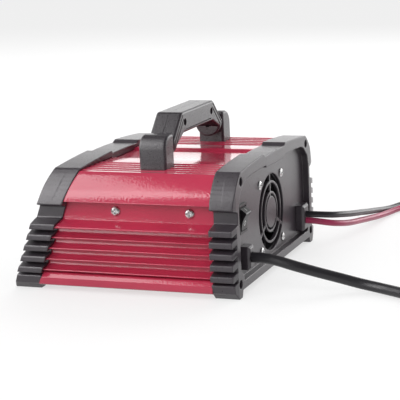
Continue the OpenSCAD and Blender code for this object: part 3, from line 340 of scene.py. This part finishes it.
mains_route = [
    [89, -64.8, 24.8], [97, -65, 24.6], [106, -65.6, 23.6], [121, -66.2, 20.2], [135, -61.4, 15.4],
    [149, -54, 10], [163, -51, 6], [178, -53.6, 4.2], [193, -60.6, 3.8], [208, -69, 3.8],
    [222, -76, 3.8]]
mains_tail = [
    [297.5, -33, 11.3], [298.4, -24, 9.8], [299.2, -15, 7.8],
    [299.9, -6, 7.3], [300, 1, 8.6], [300, 7.1, 8.6]]
black_route = [
    [89, 67.7, 26.9], [95, 67.8, 26.8], [102, 69.6, 26.4], [108.4, 75.4, 25.2], [112.6, 86, 23.4],
    [115.4, 99, 21], [117.2, 113, 18.6], [118, 128, 16], [118.8, 143, 13.2], [119.6, 158, 10.6],
    [120.4, 173, 8], [121.6, 188, 5.4], [123.6, 203, 3.4], [127, 217, 2.6], [132, 231, 2.6],
    [140, 243, 2.6], [151, 252, 2.6], [165, 257.4, 2.6], [180, 259.4, 2.6], [195, 259.6, 2.6],
    [210, 259.2, 2.6], [225, 258.4, 2.6], [240, 257.2, 2.6], [253, 255.5, 2.6]]
black_tail = [
    [285.5, 222, 7.6], [286.2, 212, 6], [286.7, 203, 5],
    [287, 195.5, 5.8], [287, 189, 7.6], [287, 183.1, 7.6]]
red_route = [
    [89, 67.7, 21.7], [95, 67.8, 21.5], [102, 69, 20.6], [108, 73.4, 19], [112.4, 82, 17],
    [115.2, 94, 14.6], [117, 107, 12.6], [118.4, 120, 10.8], [119.8, 134, 8.8], [121.4, 148, 7],
    [123, 162, 5.2], [124.6, 176, 3.8], [126.8, 190, 2.8], [130, 203, 2.6], [135, 215, 2.6],
    [143, 225, 2.6], [154, 231.6, 2.6], [167, 234.6, 2.6], [181, 233.5, 2.6]]
red_tail = [
    [213.5, 200, 7.6], [214.2, 190, 6], [214.7, 181, 5],
    [215, 173.5, 5.8], [215, 167, 7.6], [215, 161.1, 7.6]]

place_camera()
mains, mains_path = wound_cord(
    "mains_lead", mains_route, (249, -32), MAINS_COIL, MAINS_ACROSS, ANTICLOCKWISE, mains_tail,
    20, black_cord, 2.5)
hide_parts("mains_cord", "mains_coil")
black, black_path = wound_cord(
    "black_output_lead", black_route, (253, 223), LEAD_COIL, LEAD_ACROSS, CLOCKWISE, black_tail,
    14, black_cord, 2.0)
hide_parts("black_lead", "black_coil")
red, red_path = wound_cord(
    "red_output_lead", red_route, (181, 201), LEAD_COIL, LEAD_ACROSS, CLOCKWISE, red_tail,
    14, red_cord, 2.0)
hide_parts("red_lead", "red_coil")


# Red shells, as extrusions with true curves between the same end planes as the CAD solids

LEAN = math.tan(math.radians(20.35))
SHELL_FRONT, SHELL_REAR = -76.2, 77.5
CAP_FRONT, CAP_REAR = -67.9, 69.2
SHEET_ROUND = 0.45
ROOF_Z, ROOF_RIBS, RIB_FIRST, RIB_PITCH, RIB_WIDE = 86.2, 5, 75, 22 / 3, 4.4
FIN_TIP, FIN_ROOT, FIN_TOP, FIN_PITCH = 94.8, 87.8, 48.6, 8.1


def arc_points(a, b, bulge, count):
    """Circular arc from a to b that bulges to the right of the way: r = (c^2 / 4 + h^2) / 2h on a chord c."""
    a, b = np.asarray(a, float), np.asarray(b, float)
    chord = b - a
    c = np.linalg.norm(chord)
    r = (c * c / 4 + bulge * bulge) / (2 * bulge)
    out = np.array([chord[1], -chord[0]]) / c
    centre = (a + b) / 2 - out * (r - bulge)
    half = math.asin(c / 2 / r)
    t = math.atan2(out[1], out[0]) + np.linspace(-half, half, count)
    return (centre + r * np.stack([np.cos(t), np.sin(t)], 1)).tolist()


def rounded(points, radius, steps=4):
    """Closed outline whose corners sharper than 20 degrees become arcs of radius, which is one or a list."""
    p = np.asarray(points, float)
    radii = np.broadcast_to(radius, len(p))
    out = []
    for i in range(len(p)):
        back, on = p[i] - p[i - 1], p[(i + 1) % len(p)] - p[i]
        lb, lo = np.linalg.norm(back), np.linalg.norm(on)
        u, v = back / lb, on / lo
        turn = math.atan2(u[0] * v[1] - u[1] * v[0], u @ v)
        if abs(turn) < math.radians(20):
            out.append(p[i])
            continue
        t = min(radii[i] * math.tan(abs(turn) / 2), 0.45 * lb, 0.45 * lo)
        r = t / math.tan(abs(turn) / 2)
        side = math.copysign(1, turn)
        start = p[i] - u * t
        centre = start + side * r * np.array([-u[1], u[0]])
        d = start - centre
        for k in range(steps + 1):
            cos, sin = math.cos(turn * k / steps), math.sin(turn * k / steps)
            out.append(centre + [d[0] * cos - d[1] * sin, d[0] * sin + d[1] * cos])
    return np.array(out)


def extrusion(name, outline, front, rear, material):
    """Solid of a closed (y, z) outline, from the leaning plane x = front + LEAN z to the plane x = rear."""
    yz = np.asarray(outline)
    n = len(yz)
    near = np.column_stack([front + LEAN * yz[:, 1], yz])
    far = np.column_stack([np.full(n, rear), yz])
    k = np.arange(n)
    sides = np.stack([k, (k + 1) % n, (k + 1) % n + n, k + n], 1).tolist()
    lids = tessellate_polygon([[Vector((y, z, 0)) for y, z in yz]])
    faces = sides + [list(t) for t in lids] + [[i + n for i in t[::-1]] for t in lids]
    piece = mesh_piece(name, np.vstack([near, far]) * MM, faces, material, 32)
    face_outwards(piece)
    return piece


def both_sides(half):
    """Whole outline from its +Y half, listed from the bottom up to the middle."""
    half = [list(p) for p in half]
    return half + [[-y, z] for y, z in half[::-1]]


def fin_outline(top):
    """A fin's underside, tip and hollowed top: y falls as 1 - (1 - t)^1.6 while z climbs as t^2."""
    t = np.linspace(0.1, 1, 10)
    hollow = np.column_stack([FIN_TIP - 7 * (1 - (1 - t) ** 1.6), top + 3 * t ** 2])
    return [[FIN_ROOT, top - 1.3], [FIN_TIP, top - 1], [FIN_TIP, top]] + hollow.tolist()


def roof_outline():
    """The roof's outside, +Y half: band, shoulder, ribs with a crest and a dip each, and the lower middle."""
    half = [[96, 47.2], [96, 48.4], [84.5, 51.6], [84.5, 66.3]]
    half += arc_points((93, 66.3), (78.5, ROOF_Z), 2.3, 28)
    for i in range(ROOF_RIBS):
        y = RIB_FIRST - RIB_PITCH * i
        dip = arc_points((y - RIB_PITCH, ROOF_Z), (y - RIB_WIDE, ROOF_Z), 0.2, 5)[::-1][1:-1]
        half += arc_points((y, ROOF_Z), (y - RIB_WIDE, ROOF_Z), 0.5, 7) + dip
    return half + [[22.5, ROOF_Z], [21, 84.2]]


def red_shells():
    """The roof, the tray with its fins, and a rim along each foot."""
    lining = [[82.1, 47.2], [82.1, 68.7]] + arc_points((89.6, 68.7), (77.4, 83.8), 1.8, 12)
    outer, inner = both_sides(roof_outline()), both_sides(lining + [[21.3, 83.8], [19.8, 81.8]])
    roof = rounded(outer + inner[::-1], SHEET_ROUND)
    upper = extrusion("red_roof", roof, SHELL_FRONT, SHELL_REAR, red_enamel)
    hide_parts("upper_shell")
    side = [[90.5, 6.7], [90.5, 4], [91.8, 4], [93, 5.2], [93, 10], [88.1, 14.5]]
    for i in (4, 3, 2, 1):
        side += fin_outline(FIN_TOP - FIN_PITCH * i)
    side += [[FIN_ROOT, 46], [81.9, 46], [81.9, 51.2], [79.5, 51.2], [79.5, 43.6], [85.4, 43.6], [85.4, 9.1]]
    tray = rounded(both_sides(side), SHEET_ROUND)
    lower = extrusion("red_tray", tray, SHELL_FRONT, SHELL_REAR, red_enamel)
    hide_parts("lower_shell")
    rim = np.array([[91, 5], [93.6, 4.1], [94.9, 5.1], [94.9, 10], [92.3, 13.2], [88.4, 14.2], [88.4, 6]])
    rims = [extrusion(name, rounded(rim[::way] * (way, 1), SHEET_ROUND), CAP_FRONT, CAP_REAR, red_enamel)
        for name, way in (("foot_rim_near", -1), ("foot_rim_far", 1))]
    for piece in [upper, lower] + rims:
        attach(piece, "cabinet")


red_shells()


# Handle: plates with rounded rims, joined, then grooved and bored. Thickness counts from x = GRIP_X

GRIP_X, GRIP_HALF, GRIP_TOP, PIVOT_Z = 17.4, 51.0, 122.5, 102.3
GRIP_THICK, LEG_THICK, LEG_INNER, LEG_TOP, LEG_INSET = 10.2, 10.15, 44, 104.9, 0.05
ARCH_CORNER, TOP_CORNER = 2.6, 4.6
GRIP_RIM, INNER_RIM, SEAM_RIM, SEAM_GAP = 1.7, 1.2, 0.25, 0.03
CUTTER_RIM, CUTTER_PAST = 0.01, 1.0
GROOVE_DEEP, GROOVES = 1.5, ((1.9, 1.1), (5.0, 1.2))
BORE_Y, BORE_Z, BORE_R, BORE_DEEP = 27.4, 114.7, 2.6, 4.0
POST_IN, POST_OUT, POST_THICK, POST_RIM, POST_CORNER = 51.6, 68.0, 10.4, 1.9, 2.3
RIB_TOP, POST_SUNK, POST_RISE, POST_ROUND = 86.7, 2.2, 13.8, 10


def inset(outline, by):
    """Moves an anticlockwise outline's points in by (n1 + n2) / (1 + n1 . n2) times by, n being normals."""
    p = np.asarray(outline, float)
    u = np.roll(p, -1, 0) - p
    u /= np.linalg.norm(u, axis=1)[:, None]
    n2 = np.column_stack([-u[:, 1], u[:, 0]])
    n1 = np.roll(n2, 1, 0)
    return p + by * (n1 + n2) / (1 + (n1 * n2).sum(1))[:, None]


def area_of(outline):
    """Signed area of a closed outline, more than 0 when it runs anticlockwise."""
    p = np.asarray(outline)
    q = np.roll(p, -1, 0)
    return float((p[:, 0] * q[:, 1] - q[:, 0] * p[:, 1]).sum() / 2)


def anticlockwise(outline):
    """The outline itself, or turned round when it runs clockwise."""
    return outline if area_of(outline) > 0 else outline[::-1]


def plate(name, outline, start, end, rim_start, rim_end, plane="yz"):
    """Plate of an anticlockwise outline with a quarter round on each rim: at angle a the outline is inset
    by r (1 - sin a) and lies r (1 - cos a) in from the face. It runs along x for a yz outline, and along y
    for an xz one."""
    way = math.copysign(1, end - start)
    quarter = np.radians(np.linspace(0, 90, 6))
    rings = [(start + way * rim_start * (1 - math.cos(t)), rim_start * (1 - math.sin(t))) for t in quarter]
    rings += [(end - way * rim_end * (1 - math.cos(t)), rim_end * (1 - math.sin(t))) for t in quarter[::-1]]
    layers = []
    for at, depth in rings:
        flat = inset(outline, depth)
        third = np.full(len(flat), at)
        columns = [third, flat] if plane == "yz" else [flat[:, 0], third, flat[:, 1]]
        layers.append(np.column_stack(columns))
    points, n = np.vstack(layers), len(outline)
    lids = [list(range(n))[::-1], list(range(len(points) - n, len(points)))]
    piece = mesh_piece(name, points * MM, ring_quads(len(rings), n) + lids, handle_plastic)
    face_outwards(piece)
    return piece


def rod(name, centre, radius, start, end):
    """Round cutter along x about centre (y, z)."""
    t = np.linspace(0, 2 * np.pi, 32, endpoint=False)
    circle = np.column_stack([centre[0] + radius * np.cos(t), centre[1] + radius * np.sin(t)])
    return plate(name, circle, start, end, CUTTER_RIM, CUTTER_RIM)


def groove(name, outline, face, way):
    """Closed (y, z) outline as a cutter GROOVE_DEEP into the grip's side."""
    return plate(name, outline, face - GROOVE_DEEP * way, face + CUTTER_PAST * way, CUTTER_RIM, CUTTER_RIM)


def worked(piece, added=(), cut=()):
    """The piece with the added shapes joined on and the cut shapes taken off, smooth up to 38 degrees."""
    for operation, others in (("UNION", added), ("DIFFERENCE", cut)):
        for other in others:
            step = piece.modifiers.new("work", "BOOLEAN")
            step.operation, step.solver, step.object = operation, "EXACT", other
    done = bpy.data.meshes.new_from_object(piece.evaluated_get(bpy.context.evaluated_depsgraph_get()))
    piece.modifiers.clear()
    for other in (*added, *cut):
        bpy.data.objects.remove(other)
    mesh = bmesh.new()
    mesh.from_mesh(done)
    bmesh.ops.triangulate(mesh, faces=mesh.faces)
    mesh.to_mesh(piece.data)
    mesh.free()
    piece.data.shade_smooth()
    piece.data.set_sharp_from_angle(angle=math.radians(38))
    level = piece.modifiers.new("flat faces stay flat", "WEIGHTED_NORMAL")
    level.keep_sharp = True
    return piece


def arch_outline():
    """The grip's (y, z) outline: feet, slopes and a flat top, whose two corners are the rounder ones."""
    half = [[-30.1, 107], [-44.6, 99.9], [-GRIP_HALF, 99.9], [-GRIP_HALF, 104.5], [-32.4, GRIP_TOP]]
    corners = [ARCH_CORNER] * 4 + [TOP_CORNER] * 2 + [ARCH_CORNER] * 4
    return anticlockwise(rounded(np.array([[-y, z] for y, z in half] + half[::-1]), corners, 6))


def leg_outline(way):
    """A leg's (x, z) outline: 3 mm past the seam on one side, round about the pivot on the other."""
    t = np.radians(np.linspace(-90, 0, 19))
    arc = np.column_stack([GRIP_X + LEG_THICK * np.cos(t), PIVOT_Z + LEG_THICK * np.sin(t)])
    leg = np.vstack([[[GRIP_X - 3, LEG_TOP], [GRIP_X - 3, arc[0, 1]]], arc, [[GRIP_X + LEG_THICK, LEG_TOP]]])
    leg[:, 0] = GRIP_X + way * (leg[:, 0] - GRIP_X)
    return anticlockwise(leg)


def leg_groove(side, in_by, wide):
    """Outline of a groove that follows a leg and its slope, in_by from the grip's edge."""
    outer, inner, top = GRIP_HALF - in_by, GRIP_HALF - in_by - wide, GRIP_TOP - in_by
    shift = 0.4 * in_by
    line = np.array([
        [outer, 96.5], [outer, 104.1 - shift], [32.4 - shift, top],
        [31.7 - shift, top - wide * 0.7], [inner, 103.8 - shift], [inner, 96.5]])
    return anticlockwise(line * (side, 1))


def grip_half(way, name, node):
    """One moulding of the grip: way is 1 for the rear one, whose side has the screw bores."""
    face = GRIP_X + GRIP_THICK * way
    bar = plate(name, arch_outline(), GRIP_X, face, SEAM_RIM, GRIP_RIM)
    outline, leg_end = leg_outline(way), GRIP_HALF - LEG_INSET
    legs = [plate("leg", outline, LEG_INNER * side, leg_end * side, INNER_RIM, GRIP_RIM, plane="xz")
        for side in (-1, 1)]
    beyond = np.array([[-60, 85], [60, 85], [60, 130], [-60, 130]])
    seam = GRIP_X - SEAM_GAP * way
    cuts = [plate("beyond_seam", beyond, seam, GRIP_X - 5 * way, CUTTER_RIM, CUTTER_RIM)]
    for side in (-1, 1):
        for in_by, wide in GROOVES:
            cuts.append(groove("groove", leg_groove(side, in_by, wide), face, way))
        if way > 0:
            cuts.append(rod("bore", (BORE_Y * side, BORE_Z), BORE_R, face - BORE_DEEP, face + CUTTER_PAST))
    lip = [[-26, 108.8], [26, 108.8], [26, 109.6], [-26, 109.6]]
    cuts.append(groove("lip", lip, face, way))
    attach(worked(bar, legs, cuts), "handle")
    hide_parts(node)


def post(side, name, node):
    """A post whose top rounds off towards the outside, set POST_SUNK into the roof's ribs."""
    t = np.radians(np.linspace(0, 90, 15))
    foot, bend = RIB_TOP - POST_SUNK, RIB_TOP + POST_RISE
    top = np.column_stack([POST_OUT - POST_ROUND + POST_ROUND * np.cos(t), bend + POST_ROUND * np.sin(t)])
    barrel = np.vstack([[[POST_IN, foot], [POST_OUT, foot]], top, [[POST_IN, bend + POST_ROUND]]])
    outline = rounded(anticlockwise(barrel * (side, 1)), POST_CORNER, 5)
    block = worked(plate(name, outline, GRIP_X - POST_THICK, GRIP_X + POST_THICK, POST_RIM, POST_RIM))
    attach(block, "cabinet")
    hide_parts(node)


grip_half(-1, "front_grip_half", "grip_front_half")
grip_half(1, "rear_grip_half", "grip_rear_half")
post(-1, "near_post", "handle_post_near")
post(1, "far_post", "handle_post_far")


# Rocker: a ring on its long hollow face and a bar on its short one

ROCKER = np.array([82.4, -66.7, 53.0])
LONG_LOW, LONG_HIGH, HOLLOW = np.array([2.2, -7.8]), np.array([6.0, 4.0]), 1.1
SHORT_LOW, SHORT_HIGH = np.array([5.7, 4.8]), np.array([1.6, 8.0])
RING_R, RING_AT, BAR_HALF, MARK_R = 1.6, 0.36, 1.2, 0.25
RING_STEPS, MARK_SIDES = 40, 8


def ring_mark():
    """A ring on the long face, which at u along its chord L is HOLLOW (1 - (2u / L - 1)^2) deep."""
    chord = LONG_HIGH - LONG_LOW
    length = np.linalg.norm(chord)
    along, out = chord / length, np.array([chord[1], -chord[0]]) / length
    t = np.linspace(0, 2 * np.pi, RING_STEPS, endpoint=False)
    a = np.linspace(0, 2 * np.pi, MARK_SIDES, endpoint=False)
    r = RING_R + MARK_R * np.cos(a)[None, :]
    u = RING_AT * length + r * np.sin(t)[:, None]
    v = r * np.cos(t)[:, None]
    rise = MARK_R * np.sin(a)[None, :] - HOLLOW * (1 - (2 * u / length - 1) ** 2)
    xz = LONG_LOW + u[..., None] * along + rise[..., None] * out
    points = np.stack([xz[..., 0], v, xz[..., 1]], -1).reshape(-1, 3)
    return points, ring_quads(RING_STEPS, MARK_SIDES, closed=True)


def bar_mark():
    """A straight bar along the middle of the short face."""
    way = (SHORT_HIGH - SHORT_LOW) / np.linalg.norm(SHORT_HIGH - SHORT_LOW)
    middle = (SHORT_LOW + SHORT_HIGH) / 2
    line = np.array([middle - BAR_HALF * way, middle, middle + BAR_HALF * way])
    path = np.column_stack([line[:, 0], np.zeros(3), line[:, 1]])
    return tube_points(path, MARK_R, MARK_SIDES).reshape(-1, 3), tube_faces(len(path), MARK_SIDES)


def rocker_marks():
    """Both marks, raised by MARK_R, on the rocker."""
    paint = moulded("mark_white", "f4f2f2", 0.45, 0.0)
    for name, (points, faces) in (("off_mark", ring_mark()), ("on_mark", bar_mark())):
        mark = mesh_piece(name, (points + ROCKER) * MM, faces, paint, 60)
        face_outwards(mark)
        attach(mark, "rocker")


rocker_marks()


# Floor, backdrop and light, in metres

FLOOR_TONE, FLOOR_HALF, FLOOR_Z = 0.35, 8.0, -0.0002
WORLD_FILL, ROOM_DIM, HORIZON = 0.6, 0.15, 1.8
WINDOW_X, WINDOW_Z, WINDOW_SLOPE = -0.47, 1.106, 0.844


def ramp(tree, value, start, end, low, high):
    """Smooth step from low to high while value goes from start to end."""
    node = tree.nodes.new("ShaderNodeMapRange")
    node.interpolation_type = "SMOOTHSTEP"
    for name, number in zip(("From Min", "From Max", "To Min", "To Max"), (start, end, low, high)):
        node.inputs[name].default_value = number
    tree.links.new(value, node.inputs["Value"])
    return node.outputs["Result"]


def backdrop_level(tree, scattered, mirrored, seen):
    """Brightness of the backdrop: a plain level to scattered light, another to the camera and through glass,
    and the linked value to gloss."""
    path = tree.nodes.new("ShaderNodeLightPath")
    level = tree.nodes.new("ShaderNodeValue").outputs[0]
    level.default_value = scattered
    white = tree.nodes.new("ShaderNodeValue").outputs[0]
    white.default_value = seen
    for ray, value in (("Is Glossy Ray", mirrored), ("Is Transmission Ray", white), ("Is Camera Ray", white)):
        step = tree.nodes.new("ShaderNodeMix")
        tree.links.new(path.outputs[ray], step.inputs["Factor"])
        tree.links.new(level, step.inputs["A"])
        tree.links.new(value, step.inputs["B"])
        level = step.outputs["Result"]
    return level


def glowing(name, tone, roughness, strength=0.0):
    """A grey material without shine that gives off white light of the given strength."""
    material, tree, shader, place = new_material(name)
    shader.inputs["Base Color"].default_value = (tone, tone, tone, 1)
    shader.inputs["Roughness"].default_value = roughness
    shader.inputs["Specular IOR Level"].default_value = 0.0
    shader.inputs["Emission Color"].default_value = (1, 1, 1, 1)
    shader.inputs["Emission Strength"].default_value = strength
    return material, tree, shader, place


def white_stage():
    """A pale floor that takes the shadow. It looks white, and what gloss shows of it fades towards -Y."""
    material, tree, shader, place = glowing("studio_floor", FLOOR_TONE, 0.9)
    split = tree.nodes.new("ShaderNodeSeparateXYZ")
    tree.links.new(place, split.inputs["Vector"])
    mirrored = ramp(tree, split.outputs["Y"], -0.6, 0.3, 0, 0.9)
    strength = backdrop_level(tree, 0.15, mirrored, 1.0 - FLOOR_TONE)
    tree.links.new(strength, shader.inputs["Emission Strength"])
    corners = [(x * FLOOR_HALF, y * FLOOR_HALF, FLOOR_Z) for x, y in ((-1, -1), (1, -1), (1, 1), (-1, 1))]
    floor = mesh_piece("floor", corners, [(0, 1, 2, 3)], material)


def white_world():
    """Even soft light; in gloss, a bright band low behind the object under a dimmer room."""
    world = bpy.data.worlds.new("studio")
    bpy.context.scene.world = world
    world.use_nodes = True
    tree = world.node_tree
    background = tree.nodes["Background"]
    background.inputs["Color"].default_value = (1, 1, 1, 1)
    split = tree.nodes.new("ShaderNodeSeparateXYZ")
    tree.links.new(tree.nodes.new("ShaderNodeTexCoord").outputs["Generated"], split.inputs["Vector"])
    behind = ramp(tree, split.outputs["Y"], -0.3, 0.5, 0, 1)
    low = ramp(tree, split.outputs["Z"], 0.28, 0.5, HORIZON - ROOM_DIM, 0.15)
    band = tree.nodes.new("ShaderNodeMath")
    band.operation = "MULTIPLY_ADD"
    tree.links.new(behind, band.inputs[0])
    tree.links.new(low, band.inputs[1])
    band.inputs[2].default_value = ROOM_DIM
    tree.links.new(backdrop_level(tree, WORLD_FILL, band.outputs[0], 1.0), background.inputs["Strength"])


def lamp(name, centre, across, size, radiance, aim=(0, 0, 0.05), scattered=True, mirrored=True):
    """Rectangular lamp at centre, facing aim, its first side along across, of the given radiance."""
    data = bpy.data.lights.new(name, "AREA")
    data.shape = "RECTANGLE"
    data.size, data.size_y = size
    data.energy = radiance * math.pi * size[0] * size[1]
    light = bpy.data.objects.new(name, data)
    light.visible_camera = False
    light.visible_diffuse = scattered
    light.visible_glossy = mirrored
    bpy.context.scene.collection.objects.link(light)
    back = (Vector(centre) - Vector(aim)).normalized()
    side = (Vector(across) - back * back.dot(Vector(across))).normalized()
    axes = Matrix((side, back.cross(side), back)).transposed().to_4x4()
    light.matrix_world = Matrix.Translation(centre) @ axes


def window(name, corners, radiance):
    """Bright panel that only gloss shows, on the plane z = WINDOW_Z + WINDOW_SLOPE (x - WINDOW_X)."""
    material = glowing(name, 0, 0.5, radiance)[0]
    points = [(x, y, WINDOW_Z + WINDOW_SLOPE * (x - WINDOW_X)) for x, y in corners]
    panel = mesh_piece(name, points, [(0, 1, 2, 3)], material)
    panel.visible_camera = panel.visible_diffuse = False
    panel.visible_transmission = panel.visible_shadow = False


white_stage()
white_world()
window("window_high", [(-0.47, -0.05), (-0.47, -0.93), (-1.4, -0.93), (-1.4, -0.05)], 4.7)
window("window_low", [(-0.47, -0.93), (-0.47, -1.23), (-1.4, -2.2), (-1.4, -0.93)], 6.2)
lamp("left_low", (-0.42, -0.75, 0.13), (1, 0, 0), (0.4, 0.25), 3.4, (-0.08, -0.09, 0.05), scattered=False)
lamp("front_fill", (-0.2, -1.4, 0.9), (1, 0, 0), (1.6, 1.2), 2.4, mirrored=False)
lamp("back_panel", (0.1, 1.3, 1.0), (1, 0, 0), (2.2, 1.0), 2.2, mirrored=False)
lamp("right_low", (0.8, 1.25, 0.32), (0, 1, 0), (0.9, 0.5), 2.6)
bpy.context.scene.view_settings.view_transform = "Standard"
